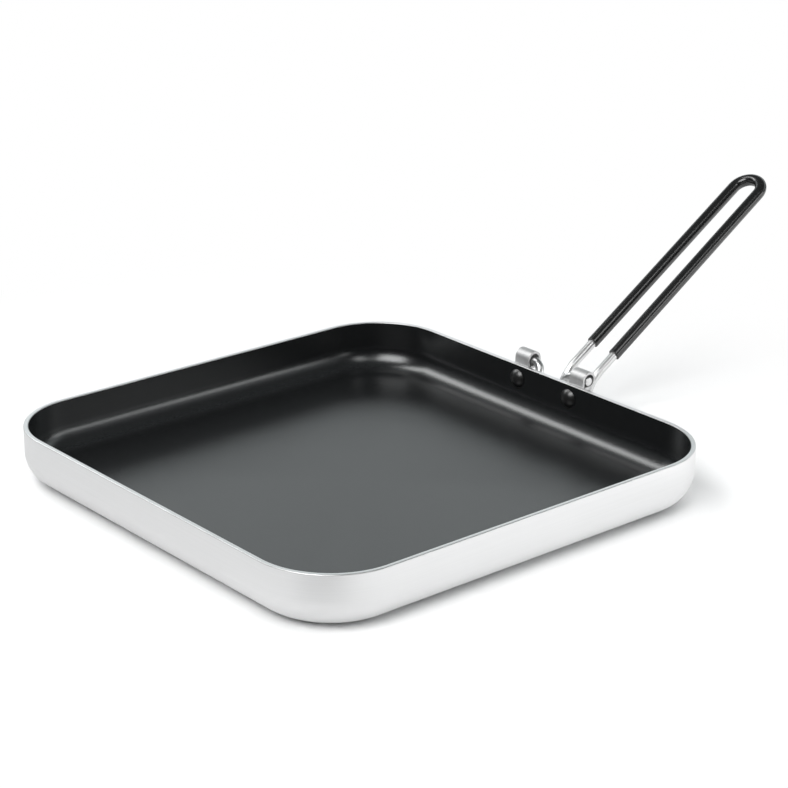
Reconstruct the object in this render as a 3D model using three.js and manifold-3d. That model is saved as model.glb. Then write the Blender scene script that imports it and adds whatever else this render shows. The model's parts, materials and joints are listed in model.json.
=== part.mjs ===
// Square frying pan with a folding wire handle.
// Millimetres, +Z up. The origin is the middle of the flat underside, and the handle points along +Y.
import * as THREE from "three";
import { mergeVertices, toCreasedNormals } from "three/addons/utils/BufferGeometryUtils.js";
import Module from "manifold-3d";

// Pan, pressed from one aluminium sheet
const PAN_SIDE = 280; // across the flats, outside
const PAN_HEIGHT = 31;
const CORNER_RADIUS = 44; // outside, seen from above
const WALL = 2.5;
const BASE = 3;
const BOTTOM_RADIUS = 17; // outside, from the wall into the underside
const INNER_FILLET = 14; // inside, from the wall into the cooking floor
const RIM_CHAMFER = 0.35;

// Non-stick coating on the inside
const COATING = 0.2;
const COATING_GAP = 0.05; // between the coating and the metal under it

// Lugs, each one folded steel strap with an eye for the handle
const LUG_WIDTH = 11;
const STRAP = 1.5; // strap thickness
const LEAF_GAP = 0.2; // between the two leaves of the fold
const THROAT_BEND = 1.8; // brings the second leaf in under the eye
const STEP_LEAD = 1.2; // from the start of that bend up to where the first leaf steps back
const STEP_RISE = 3;
const STEP_BACK = 1.6; // keeps the eye clear of the rim
const EYE_PLAY = 2; // eye bore over the wire that turns in it
const SEAT_GAP = 0.1; // between faces that a rivet clamps

// Rivets, one through the wall and both leaves of each lug
const RIVET_DROP = 8.1; // rivet centre below the rim
const RIVET_INSET = 1.3; // rivet centre from the lug's middle, towards the handle
const RIVET_SHANK = 5; // diameter
const RIVET_CLEARANCE = 0.15; // between the shank and its holes, all round
const RIVET_HEAD = 10.4; // diameter, inside the pan
const RIVET_HEAD_EDGE = 0.7;
const RIVET_HEAD_DOME = 1.5;
const RIVET_TAIL = 6.6; // diameter of the end that is upset on the lug
const RIVET_TAIL_EDGE = 0.6;
const RIVET_TAIL_DOME = 1.2;
const TAIL_CLEARANCE = 0.2; // between that end and the bend of the strap above it

// Handle, one bent wire: its ends turn in the eyes, and its hooks rest on the wall
const WIRE = 5; // diameter
const EYE_CLEARANCE = 0.3; // between the wire and the place in each eye where it lies
const EYE_LEAN = THREE.MathUtils.degToRad(45); // from the eye's lowest point towards the pan
const LUG_SIDE_PLAY = 0.7; // between a lug and the bend beside it
const WIRE_END = 0.5; // how far each end stands out of its lug
const EYE_BEND = 6; // this and the other bends are radii of the wire's centreline
const STOP_LEAD = 3.7; // from the eye bend down to where the wire meets the wall
const STOP_BEND = 15;
const STOP_GAP = 0.3; // between the wall and the wire that rests on it
const STOP_LENGTH = 6; // the stretch that runs down along the wall
const HOOK_BEND = 8.5;
const HOOK_FLAT = 2.6; // straight stretch across the bottom of the hook
const RISER_LENGTH = 18.4; // from the bottom of the hook up to the knee
const RISER_ANGLE = THREE.MathUtils.degToRad(60); // above the level
const KNEE_BEND = 30;
const LEG_SPACING = 20; // between the centrelines of the two legs, from the eyes to the knees
const TIP_SPACING = 19; // the legs draw together a little up to the tip
const LEG_LENGTH = 168.7; // from the knee to the tip
const LEG_ANGLE = THREE.MathUtils.degToRad(32.5); // above the level

// Grip sleeve over the legs and the tip
const SLEEVE_WALL = 0.7;
const SLEEVE_CLEARANCE = 0.3; // between the wire and the sleeve's bore
const SLEEVE_START_LEFT = 22.3; // bare wire from the knee up to the sleeve
const SLEEVE_START_RIGHT = 19.4;

// Fineness of the round faces
const CORNER_STEPS = 12;
const PROFILE_DIVISIONS = 4; // half the steps of a quarter round in a profile
const STRAP_DIVISIONS = 7;
const WIRE_DIVISIONS = 7;
const RIVET_SIDES = 24;
const BEND_STEP = THREE.MathUtils.degToRad(11);
const CREASE = THREE.MathUtils.degToRad(35);
const CUT_OVERRUN = 4; // how far a cutting shape passes the piece that it cuts
const WELD = 1e-3; // points closer than this are one point

// Places that follow from the sizes
const QUARTER = Math.PI / 2;
const WALL_FACE = PAN_SIDE / 2; // outer face of the wall that carries the handle
const LINING_FACE = WALL_FACE - WALL - COATING_GAP - COATING; // inner face of the coating on that wall
const LEG_X = LEG_SPACING / 2;
const TIP_X = TIP_SPACING / 2;
const TIP_BEND = TIP_X / Math.tan((QUARTER - Math.atan((LEG_X - TIP_X) / LEG_LENGTH)) / 2);
const LUG_X = LEG_X + EYE_BEND + LUG_SIDE_PLAY + LUG_WIDTH / 2;
const RIVET_X = LUG_X - RIVET_INSET;
const LUG_BACK = WALL_FACE + SEAT_GAP; // lug face against the wall
const LUG_FRONT = LUG_BACK + 2 * STRAP + LEAF_GAP; // outer face of the second leaf
const EYE_RADIUS = (WIRE + EYE_PLAY) / 2;
const EYE_OUTSIDE = EYE_RADIUS + STRAP;
const EYE_Y = LUG_BACK + STEP_BACK + EYE_OUTSIDE;
const RIVET_Z = PAN_HEIGHT - RIVET_DROP;
const THROAT_Y = LUG_FRONT + THROAT_BEND;
const THROAT_Z = RIVET_Z + RIVET_TAIL / 2 + TAIL_CLEARANCE;
const EYE_Z = THROAT_Z + THROAT_BEND + EYE_OUTSIDE;
const EYE_SLACK = EYE_RADIUS - WIRE / 2 - EYE_CLEARANCE; // from the eye's middle to the wire's
const HINGE_Y = EYE_Y - EYE_SLACK * Math.sin(EYE_LEAN);
const HINGE_Z = EYE_Z - EYE_SLACK * Math.cos(EYE_LEAN);
const SIDES = { left: -1, right: 1 };

const wasm = await Module();
wasm.setup();

// A closed geometry as a solid that can be joined and cut
function toSolid(geometry) {
  const bare = geometry.clone();
  bare.deleteAttribute("normal");
  bare.deleteAttribute("uv");
  const welded = mergeVertices(bare, WELD);
  const mesh = new wasm.Mesh({
    numProp: 3,
    vertProperties: welded.getAttribute("position").array,
    triVerts: new Uint32Array(welded.index.array),
  });
  return new wasm.Manifold(mesh);
}

function toGeometry(solid) {
  const { vertProperties, triVerts } = solid.getMesh();
  const geometry = new THREE.BufferGeometry();
  geometry.setAttribute("position", new THREE.BufferAttribute(vertProperties, 3));
  geometry.setIndex(new THREE.BufferAttribute(triVerts, 1));
  return geometry;
}

function piece(name, geometry, color, roughness, metalness) {
  const material = new THREE.MeshStandardMaterial({ color, roughness, metalness });
  const mesh = new THREE.Mesh(toCreasedNormals(geometry, CREASE), material);
  mesh.name = name;
  return mesh;
}

// A closed body from stacked loops of points: each loop is joined to the next, and both ends are capped
function loft(loops) {
  const count = loops[0].length;
  const points = loops.flat();
  const last = points.length - count;
  const bottom = points.length;
  const top = bottom + 1;
  points.push(new THREE.Vector3(0, 0, loops[0][0].z), new THREE.Vector3(0, 0, loops.at(-1)[0].z));
  const faces = [];
  for (let i = 0; i < count; i += 1) {
    const next = (i + 1) % count;
    for (let row = 0; row < last; row += count) {
      faces.push(row + i, row + next, row + count + next);
      faces.push(row + i, row + count + next, row + count + i);
    }
    faces.push(bottom, next, i);
    faces.push(top, last + i, last + next);
  }
  return new THREE.BufferGeometry().setFromPoints(points).setIndex(faces);
}

// The pan's outline seen from above, drawn in by an inset: a square with round corners
function squareLoop(inset, height) {
  const cornerCentre = PAN_SIDE / 2 - CORNER_RADIUS;
  const radius = CORNER_RADIUS - inset;
  const loop = [];
  for (let corner = 0; corner < 4; corner += 1) {
    const diagonal = (corner + 0.5) * QUARTER;
    const x = cornerCentre * Math.sign(Math.cos(diagonal));
    const y = cornerCentre * Math.sign(Math.sin(diagonal));
    for (let step = 0; step <= CORNER_STEPS; step += 1) {
      const angle = (corner + step / CORNER_STEPS) * QUARTER;
      loop.push(new THREE.Vector3(x + radius * Math.cos(angle), y + radius * Math.sin(angle), height));
    }
  }
  return loop;
}

// A tray from its wall profile: x is the inset from the pan's outside, and y is the height
function tray(profile) {
  const loops = profile.getPoints(PROFILE_DIVISIONS).map((point) => squareLoop(point.x, point.y));
  let solid = toSolid(loft(loops));
  for (const side of Object.values(SIDES)) {
    const middle = (LINING_FACE + WALL_FACE) / 2;
    const length = WALL_FACE - LINING_FACE + CUT_OVERRUN;
    solid = solid.subtract(rivetHole(side * RIVET_X, middle, length));
  }
  return toGeometry(solid);
}

function rivetHole(x, y, length) {
  const radius = RIVET_SHANK / 2 + RIVET_CLEARANCE;
  const hole = new THREE.CylinderGeometry(radius, radius, length, RIVET_SIDES);
  return toSolid(hole.translate(x, y, RIVET_Z));
}

function panBody() {
  const profile = new THREE.Path();
  profile.absarc(BOTTOM_RADIUS, BOTTOM_RADIUS, BOTTOM_RADIUS, -QUARTER, -2 * QUARTER, true);
  profile.lineTo(0, PAN_HEIGHT - RIM_CHAMFER);
  profile.lineTo(RIM_CHAMFER, PAN_HEIGHT);
  profile.lineTo(WALL - RIM_CHAMFER, PAN_HEIGHT);
  profile.lineTo(WALL, PAN_HEIGHT - RIM_CHAMFER);
  const filletX = WALL + INNER_FILLET;
  profile.absarc(filletX, BASE + INNER_FILLET, INNER_FILLET, 2 * QUARTER, 3 * QUARTER, false);
  return piece("pan_body", tray(profile), 0xd4d6d8, 0.38, 0.95);
}

// The coating follows the inside of the pan up to the bare rim
function nonstickCoating() {
  const filletX = WALL + INNER_FILLET;
  const filletZ = BASE + INNER_FILLET;
  const under = INNER_FILLET - COATING_GAP;
  const top = PAN_HEIGHT - RIM_CHAMFER;
  const profile = new THREE.Path();
  profile.absarc(filletX, filletZ, under, -QUARTER, -2 * QUARTER, true);
  profile.lineTo(filletX - under, top);
  profile.lineTo(filletX - under + COATING, top);
  profile.absarc(filletX, filletZ, under - COATING, 2 * QUARTER, 3 * QUARTER, false);
  return piece("nonstick_coating", tray(profile), 0x1d1e20, 0.42, 0);
}

// The strap seen from its end: up the wall, a step back, round the eye, and down over its own first leaf
function strapOutline() {
  const end = RIVET_Z - LUG_WIDTH / 2 - CUT_OVERRUN;
  const step = THROAT_Z + STEP_LEAD;
  const slope = Math.atan(STEP_BACK / STEP_RISE);
  const drop = STRAP * Math.tan(slope / 2); // keeps the strap's thickness in the step
  const outline = new THREE.Shape();
  outline.moveTo(LUG_BACK, end);
  outline.lineTo(LUG_BACK, step);
  outline.lineTo(LUG_BACK + STEP_BACK, step + STEP_RISE);
  outline.absarc(EYE_Y, EYE_Z, EYE_OUTSIDE, 2 * QUARTER, -QUARTER, true);
  outline.absarc(THROAT_Y, THROAT_Z, THROAT_BEND, QUARTER, 2 * QUARTER, false);
  outline.lineTo(LUG_FRONT, end);
  outline.lineTo(LUG_FRONT - STRAP, end);
  outline.absarc(THROAT_Y, THROAT_Z, THROAT_BEND + STRAP, 2 * QUARTER, QUARTER, true);
  outline.absarc(EYE_Y, EYE_Z, EYE_RADIUS, -QUARTER, 2 * QUARTER, false);
  outline.lineTo(LUG_BACK + STRAP + STEP_BACK, step + STEP_RISE - drop);
  outline.lineTo(LUG_BACK + STRAP, step - drop);
  outline.lineTo(LUG_BACK + STRAP, end);
  return outline;
}

// The strap seen from the front: straight sides and a round lower end
function strapFace() {
  const half = LUG_WIDTH / 2;
  const top = EYE_Z + EYE_OUTSIDE + CUT_OVERRUN;
  const face = new THREE.Shape();
  face.moveTo(half, top);
  face.lineTo(-half, top);
  face.absarc(0, RIVET_Z, half, 2 * QUARTER, 4 * QUARTER, false);
  return face;
}

function lug(side) {
  const across = LUG_WIDTH + 2 * CUT_OVERRUN;
  const strap = new THREE.ExtrudeGeometry(strapOutline(), {
    depth: across,
    curveSegments: STRAP_DIVISIONS,
    bevelEnabled: false,
  });
  strap.translate(0, 0, -across / 2);
  const alongX = new THREE.Matrix4().makeBasis(
    new THREE.Vector3(0, 1, 0),
    new THREE.Vector3(0, 0, 1),
    new THREE.Vector3(1, 0, 0),
  );
  strap.applyMatrix4(alongX);

  const through = EYE_Y + EYE_OUTSIDE - LUG_BACK + 2 * CUT_OVERRUN;
  const face = new THREE.ExtrudeGeometry(strapFace(), {
    depth: through,
    curveSegments: STRAP_DIVISIONS,
    bevelEnabled: false,
  });
  face.rotateX(QUARTER).translate(0, LUG_BACK - CUT_OVERRUN + through, 0);

  const leaves = LUG_FRONT - LUG_BACK;
  const hole = rivetHole(-SIDES[side] * RIVET_INSET, LUG_BACK + leaves / 2, leaves + CUT_OVERRUN);
  const solid = toSolid(strap).intersect(toSolid(face)).subtract(hole);
  const mesh = piece(`handle_lug_${side}`, toGeometry(solid), 0xc6c7c9, 0.3, 1);
  mesh.position.x = SIDES[side] * LUG_X;
  return mesh;
}

// A domed end of a rivet, from its axis out to its flat seat; away is the side that the dome faces
function rivetEnd(seat, away, diameter, edge, dome) {
  const radius = diameter / 2;
  const sphere = (radius * radius + dome * dome) / (2 * dome);
  const halfAngle = Math.asin(radius / sphere);
  const centre = seat + away * (edge + dome - sphere);
  const points = [];
  for (let step = 0; step <= PROFILE_DIVISIONS; step += 1) {
    const angle = (halfAngle * step) / PROFILE_DIVISIONS;
    points.push(new THREE.Vector2(sphere * Math.sin(angle), centre + away * sphere * Math.cos(angle)));
  }
  points.push(new THREE.Vector2(radius, seat));
  points.push(new THREE.Vector2(RIVET_SHANK / 2, seat));
  return points;
}

function rivet(side) {
  const headSeat = LINING_FACE - SEAT_GAP;
  const tailSeat = LUG_FRONT + SEAT_GAP;
  const head = rivetEnd(headSeat, -1, RIVET_HEAD, RIVET_HEAD_EDGE, RIVET_HEAD_DOME);
  const tail = rivetEnd(tailSeat, 1, RIVET_TAIL, RIVET_TAIL_EDGE, RIVET_TAIL_DOME);
  const turned = new THREE.LatheGeometry([...head, ...tail.reverse()], RIVET_SIDES);
  const mesh = piece(`lug_rivet_${side}`, toGeometry(toSolid(turned)), 0x2a2b2d, 0.4, 0.3);
  mesh.position.set(SIDES[side] * RIVET_X, 0, RIVET_Z);
  return mesh;
}

// Centreline of a bent wire: straight runs between its points, with an arc of the given radius at each bend
class BentWire extends THREE.Curve {
  constructor(points, radii) {
    super();
    this.runs = [];
    let from = points[0];
    for (let i = 1; i + 1 < points.length; i += 1) {
      const arriving = points[i].clone().sub(points[i - 1]).normalize();
      const leaving = points[i + 1].clone().sub(points[i]).normalize();
      const turn = arriving.angleTo(leaving);
      const reach = radii[i] * Math.tan(turn / 2);
      const start = points[i].clone().addScaledVector(arriving, -reach);
      this.addStraight(from, start);
      this.addBend(start, arriving, leaving, turn, radii[i]);
      from = points[i].clone().addScaledVector(leaving, reach);
    }
    this.addStraight(from, points.at(-1));
    this.steps = this.runs.reduce((sum, run) => sum + run.steps, 0);
  }

  addStraight(from, to) {
    if (from.distanceTo(to) > WELD) {
      this.runs.push({ steps: 1, place: (share) => from.clone().lerp(to, share) });
    }
  }

  addBend(start, arriving, leaving, turn, radius) {
    const inward = leaving.clone().addScaledVector(arriving, -Math.cos(turn)).normalize();
    const centre = start.clone().addScaledVector(inward, radius);
    const place = (share) => {
      const angle = turn * share;
      const point = centre.clone().addScaledVector(inward, -radius * Math.cos(angle));
      return point.addScaledVector(arriving, radius * Math.sin(angle));
    };
    this.runs.push({ steps: Math.ceil(turn / BEND_STEP), place });
  }

  getPoint(share, target = new THREE.Vector3()) {
    let step = share * this.steps;
    let run = 0;
    while (run + 1 < this.runs.length && step > this.runs[run].steps) {
      step -= this.runs[run].steps;
      run += 1;
    }
    return target.copy(this.runs[run].place(Math.min(step / this.runs[run].steps, 1)));
  }

  // Each run keeps its own steps, so the points lie close together only in the bends
  getUtoTmapping(share) {
    return share;
  }
}

// Bend points of one leg, from the hinge axis, which is the handle's own origin
function legPoints() {
  const stopY = WALL_FACE + STOP_GAP + WIRE / 2 - HINGE_Y;
  const stopZ = -(EYE_BEND + STOP_LEAD);
  const hookZ = stopZ - STOP_LENGTH - HOOK_BEND;
  const riserY = stopY + HOOK_BEND * (1 + Math.tan(RISER_ANGLE / 2)) + HOOK_FLAT;
  const kneeY = riserY + RISER_LENGTH * Math.cos(RISER_ANGLE);
  const kneeZ = hookZ + RISER_LENGTH * Math.sin(RISER_ANGLE);
  const alongLeg = (length) => {
    const x = THREE.MathUtils.lerp(LEG_X, TIP_X, length / LEG_LENGTH);
    return new THREE.Vector3(x, kneeY + length * Math.cos(LEG_ANGLE), kneeZ + length * Math.sin(LEG_ANGLE));
  };
  return {
    end: new THREE.Vector3(LUG_X + LUG_WIDTH / 2 + WIRE_END, 0, 0),
    eye: new THREE.Vector3(LEG_X, 0, 0),
    stop: new THREE.Vector3(LEG_X, stopY, stopZ),
    hook: new THREE.Vector3(LEG_X, stopY, hookZ),
    riser: new THREE.Vector3(LEG_X, riserY, hookZ),
    knee: alongLeg(0),
    sleeveLeft: alongLeg(SLEEVE_START_LEFT),
    sleeveRight: alongLeg(SLEEVE_START_RIGHT),
    tip: alongLeg(LEG_LENGTH),
  };
}

function mirrored(point) {
  return point.clone().multiply(new THREE.Vector3(-1, 1, 1));
}

function circle(shape, diameter) {
  return shape.absarc(0, 0, diameter / 2, 0, 4 * QUARTER, false);
}

function sweep(section, path) {
  const options = { steps: path.steps, curveSegments: WIRE_DIVISIONS, extrudePath: path };
  return new THREE.ExtrudeGeometry(section, options);
}

function handleWire() {
  const leg = legPoints();
  const half = [leg.end, leg.eye, leg.stop, leg.hook, leg.riser, leg.knee, leg.tip];
  const radii = [0, EYE_BEND, STOP_BEND, HOOK_BEND, HOOK_BEND, KNEE_BEND, TIP_BEND];
  const points = [...half, ...half.map(mirrored).reverse()];
  const path = new BentWire(points, [...radii, ...radii.slice().reverse()]);
  const section = circle(new THREE.Shape(), WIRE);
  return piece("handle_wire", sweep(section, path), 0xd8d9db, 0.15, 1);
}

function handleSleeve() {
  const leg = legPoints();
  const points = [leg.sleeveRight, leg.tip, mirrored(leg.tip), mirrored(leg.sleeveLeft)];
  const path = new BentWire(points, [0, TIP_BEND, TIP_BEND, 0]);
  const bore = WIRE + 2 * SLEEVE_CLEARANCE;
  const section = circle(new THREE.Shape(), bore + 2 * SLEEVE_WALL);
  section.holes.push(circle(new THREE.Path(), bore));
  return piece("handle_sleeve", sweep(section, path), 0x1b1b1d, 0.35, 0);
}

const pan = new THREE.Group();
pan.add(panBody(), nonstickCoating());
for (const side of Object.keys(SIDES)) {
  pan.add(lug(side), rivet(side));
}

// Turning this group about X folds the handle up and over into the pan
const handle = new THREE.Group();
handle.position.set(0, HINGE_Y, HINGE_Z);
handle.add(handleWire(), handleSleeve());

const fryingPan = new THREE.Group();
fryingPan.add(pan, handle);

export default fryingPan;
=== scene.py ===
# %% [markdown]
# # A square frying pan with a folding wire handle
#
# The pan is pressed from one sheet of aluminium, bare outside and coated black inside. Two folded steel
# straps are riveted to its back wall, and a bent wire handle turns in their eyes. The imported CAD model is
# the fixed frame. This lesson builds a fine mesh for each kind of piece and gives it a node material.
# Everything is in metres, in the frame's own axes: Z is up, and the handle points along +Y.

import json
import math

import bpy
from mathutils import Matrix, Vector


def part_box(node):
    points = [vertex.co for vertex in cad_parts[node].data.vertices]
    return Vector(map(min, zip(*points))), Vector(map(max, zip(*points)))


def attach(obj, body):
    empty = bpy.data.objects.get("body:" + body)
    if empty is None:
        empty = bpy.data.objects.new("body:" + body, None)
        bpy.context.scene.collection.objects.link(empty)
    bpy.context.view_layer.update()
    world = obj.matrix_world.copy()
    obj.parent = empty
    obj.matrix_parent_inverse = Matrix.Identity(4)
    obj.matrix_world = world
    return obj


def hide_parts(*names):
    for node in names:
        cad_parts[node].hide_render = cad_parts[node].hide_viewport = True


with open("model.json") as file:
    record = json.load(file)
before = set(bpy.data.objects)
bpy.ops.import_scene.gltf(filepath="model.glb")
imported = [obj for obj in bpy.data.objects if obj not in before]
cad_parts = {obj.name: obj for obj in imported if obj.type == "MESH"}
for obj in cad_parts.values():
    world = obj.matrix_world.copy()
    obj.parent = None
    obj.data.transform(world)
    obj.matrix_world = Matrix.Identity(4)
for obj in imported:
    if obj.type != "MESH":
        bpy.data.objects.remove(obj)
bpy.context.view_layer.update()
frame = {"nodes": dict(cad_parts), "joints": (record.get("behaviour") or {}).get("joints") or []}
print("frame nodes:", ", ".join(sorted(frame["nodes"])))

# %% [markdown]
# ## Camera
#
# A camera can be placed by eye, or solved from known points. Here it was solved from the outline of the
# square rim, so its place, turn and view angle are plain numbers. The turn is built from three simple
# rotations: round the object, down towards it, and a slight tilt of the picture.

# %% Camera
CAMERA_PLACE = Vector((0.8942, -0.7441, 0.4967))
CAMERA_AZIMUTH = math.radians(49.28)
CAMERA_ELEVATION = math.radians(20.9)
CAMERA_TILT = math.radians(0.58)
CAMERA_VIEW_ANGLE = math.radians(19.06)
QUARTER_TURN = math.pi / 2
HALF_TURN = math.pi


def link(thing):
    """Puts an object into the scene."""
    bpy.context.scene.collection.objects.link(thing)
    return thing


def turn(angle, axis):
    """A rotation about one axis."""
    return Matrix.Rotation(angle, 4, axis)


camera = link(bpy.data.objects.new("camera", bpy.data.cameras.new("camera")))
camera.data.sensor_fit = "HORIZONTAL"
camera.data.angle = CAMERA_VIEW_ANGLE
aim = turn(CAMERA_AZIMUTH, "Z") @ turn(QUARTER_TURN - CAMERA_ELEVATION, "X") @ turn(CAMERA_TILT, "Z")
camera.matrix_world = Matrix.Translation(CAMERA_PLACE) @ aim
bpy.context.scene.camera = camera
bpy.context.scene.view_settings.view_transform = "Standard"
print("camera lens:", round(camera.data.lens, 1), "mm")

# %% [markdown]
# ## Helpers for node trees
#
# Geometry trees and materials are both built from nodes, and adding a node always takes the same steps:
# make it, set its options, then fill or link its inputs. One small function does that for both, so that
# the cells below read as a list of nodes.


# %% Helpers for node trees
def place(tree, kind, inputs=None, **options):
    """Adds a node. An input that is given a socket is linked to it, and any other gets the value."""
    node = tree.nodes.new(kind)
    for option, value in options.items():
        setattr(node, option, value)
    for socket, value in (inputs or {}).items():
        if isinstance(value, bpy.types.NodeSocket):
            tree.links.new(value, node.inputs[socket])
        else:
            node.inputs[socket].default_value = value
    return node


def result(tree, kind, inputs=None, **options):
    """Adds a node and gives its first output, which is what most nodes are placed for."""
    return place(tree, kind, inputs, **options).outputs[0]


def calc(tree, operation, first, second=0.0):
    """The result of a Math node."""
    return result(tree, "ShaderNodeMath", {0: first, 1: second}, operation=operation)


def new_tree(name, kind, inputs, outputs):
    """A node group with named sockets, and the sockets of its input node."""
    tree = bpy.data.node_groups.new(name, kind)
    for title, socket in inputs.items():
        tree.interface.new_socket(title, in_out="INPUT", socket_type="NodeSocket" + socket)
    for title, socket in outputs.items():
        tree.interface.new_socket(title, in_out="OUTPUT", socket_type="NodeSocket" + socket)
    return tree, tree.nodes.new("NodeGroupInput").outputs


print("node helpers ready")

# %% [markdown]
# ## Brushed metal and fine speckle
#
# Three metals here show a grain: fine lines in one direction, with a slow cloud of lighter and darker
# metal under them. Three black finishes show a fine speckle over a faint orange-peel surface. Each effect
# is one node group that its materials place with their own values. A group puts out only values, and the
# shader stays in the material.

# %% Shader groups
GRAIN_DETAIL = 5.0
CLOUD_DETAIL = 3.0
PEEL_DETAIL = 2.0
PLAIN_CELLS = 0.7


def noise(tree, where, scale, detail):
    """A soft random value at each place."""
    given = {"Vector": where, "Scale": scale, "Detail": detail}
    return result(tree, "ShaderNodeTexNoise", given)


def grain_group():
    """Lines that are fine along one axis: each axis has its own speed of change."""
    inputs = {"Lines per metre": "Vector", "Clouds per metre": "Float"}
    outputs = {"Grain": "Float", "Cloud": "Float"}
    tree, given = new_tree("brushed grain", "ShaderNodeTree", inputs, outputs)
    where = place(tree, "ShaderNodeTexCoord").outputs["Object"]
    stretch = {0: where, 1: given["Lines per metre"]}
    stretched = result(tree, "ShaderNodeVectorMath", stretch, operation="MULTIPLY")
    lines = noise(tree, stretched, 1.0, GRAIN_DETAIL)
    cloud = noise(tree, where, given["Clouds per metre"], CLOUD_DETAIL)
    place(tree, "NodeGroupOutput", {"Grain": lines, "Cloud": cloud})
    return tree


def speckle_group():
    """Sparse light specks, and the soft bumps of a sprayed or moulded surface."""
    inputs = {"Specks per metre": "Float", "Bumps per metre": "Float"}
    outputs = {"Specks": "Float", "Peel": "Float"}
    tree, given = new_tree("fine speckle", "ShaderNodeTree", inputs, outputs)
    where = place(tree, "ShaderNodeTexCoord").outputs["Object"]
    cell_inputs = {"Vector": where, "Scale": given["Specks per metre"]}
    cells = place(tree, "ShaderNodeTexVoronoi", cell_inputs)
    shades = place(tree, "ShaderNodeSeparateColor", {"Color": cells.outputs["Color"]})
    rare = {"Value": shades.outputs["Red"], "From Min": PLAIN_CELLS, "From Max": 1.0}
    specks = result(tree, "ShaderNodeMapRange", rare)
    peel = noise(tree, where, given["Bumps per metre"], PEEL_DETAIL)
    place(tree, "NodeGroupOutput", {"Specks": specks, "Peel": peel})
    return tree


GRAIN = grain_group()
SPECKLE = speckle_group()
print("shader groups:", GRAIN.name, "and", SPECKLE.name)

# %% [markdown]
# ## Helpers for finishes
#
# A finish is a material with one Principled shader. A value that is the same all over is set straight on
# the shader's socket. What changes over the surface comes from masks between 0 and 1. A mask is spread
# over a range of roughness, or it blends two colours, or it is read as the height of a fine bump.


# %% Helpers for finishes
def blank_tree(owner):
    """Switches a material or a world to nodes, and empties its tree."""
    owner.use_nodes = True
    owner.node_tree.nodes.clear()
    return owner.node_tree


def new_finish(name, **constants):
    """A material with one Principled shader. Constants are set straight on the shader's sockets."""
    finish = bpy.data.materials.new(name)
    tree = blank_tree(finish)
    surface = place(tree, "ShaderNodeBsdfPrincipled")
    for socket, value in constants.items():
        surface.inputs[socket.replace("_", " ")].default_value = value
    place(tree, "ShaderNodeOutputMaterial", {"Surface": surface.outputs["BSDF"]})
    return finish, tree, surface.inputs


def feed(tree, surface, maps):
    """Links each map to the shader's socket of that name."""
    for socket, value in maps.items():
        tree.links.new(value, surface[socket])


def effect(tree, group, values):
    """Places a shader group with a finish's own values."""
    return place(tree, "ShaderNodeGroup", values, node_tree=group).outputs


def between(tree, mask, low, high):
    """A mask from 0 to 1, spread over the range from low to high."""
    return result(tree, "ShaderNodeMapRange", {"Value": mask, "To Min": low, "To Max": high})


# The Mix node has sockets for every kind of data: 2 and 3 are for values, 6 and 7 for colours.
def mixed(tree, mask, first, second):
    """The first value where the mask is 0 and the second where it is 1."""
    return result(tree, "ShaderNodeMix", {0: mask, 2: first, 3: second}, data_type="FLOAT")


def blended(tree, mask, first, second):
    """The first colour where the mask is 0 and the second where it is 1."""
    node = place(tree, "ShaderNodeMix", {0: mask, 6: first, 7: second}, data_type="RGBA")
    return node.outputs[2]


def grey(level, tint=0.0):
    """A near-neutral colour: a positive tint is cool and a negative one warm."""
    return (level * (1 - tint), level, level * (1 + tint), 1.0)


def brushed_colour(tree, grain, shades, cloud_shade, cloud_share):
    """Two shades along the lines of the grain, and a share of a third one in its clouds."""
    metal = blended(tree, grain["Grain"], *shades)
    return blended(tree, between(tree, grain["Cloud"], 0.0, cloud_share), metal, cloud_shade)


def bumped(tree, height, depth, strength):
    """A normal from a height that is read as depth metres from its lowest to its highest."""
    given = {"Height": height, "Distance": depth, "Strength": strength}
    return result(tree, "ShaderNodeBump", given)


def step_along(tree, axis, start, end):
    """A mask that goes from 0 to 1 between two places along an axis of the frame."""
    where = place(tree, "ShaderNodeTexCoord").outputs["Object"]
    along = place(tree, "ShaderNodeSeparateXYZ", {"Vector": where}).outputs[axis]
    return result(tree, "ShaderNodeMapRange", {"Value": along, "From Min": start, "From Max": end})


print("finish helpers ready")

# %% [markdown]
# ## Shapes from a drawn line
#
# Almost every piece of this pan starts as a line with round bends: the section of the wall, the strap of a
# lug, the wire of the handle. Such a line is drawn here by its corner points, as a plain curve. The radius
# that every curve point carries is free, so it holds the size of the bend at that corner. A small geometry
# group turns it into a rounded line with the Fillet Curve node, and each shape tree then sweeps it.


# %% Drawn lines and the rounded line
def drawn_line(name, points, bends):
    """A curve through the points, whose point radius is the bend at each point."""
    curve = bpy.data.curves.new(name, "CURVE")
    curve.dimensions = "3D"
    spline = curve.splines.new("POLY")
    spline.points.add(len(points) - 1)
    for point, spot, bend in zip(spline.points, points, bends):
        point.co = (*spot, 1.0)
        point.radius = bend
    return curve


def filleted(tree, curve, segments, radius):
    """The curve with round corners, made of short straight segments."""
    given = {"Curve": curve, "Count": segments, "Radius": radius}
    return result(tree, "GeometryNodeFilletCurve", given, mode="POLY")


def rounded_line_group():
    """Rounds each corner of a drawn line by its own bend, and makes the point radius even again."""
    inputs = {"Line": "Geometry", "Segments": "Int"}
    tree, given = new_tree("rounded line", "GeometryNodeTree", inputs, {"Line": "Geometry"})
    bend = result(tree, "GeometryNodeInputRadius")
    fillet = filleted(tree, given["Line"], given["Segments"], bend)
    even = result(tree, "GeometryNodeSetCurveRadius", {"Curve": fillet, "Radius": 1.0})
    place(tree, "NodeGroupOutput", {"Line": even})
    return tree


ROUNDED_LINE = rounded_line_group()


def rounded(tree, line, segments):
    """Places the group in a shape tree."""
    given = {"Line": line, "Segments": segments}
    return result(tree, "GeometryNodeGroup", given, node_tree=ROUNDED_LINE)


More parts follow.
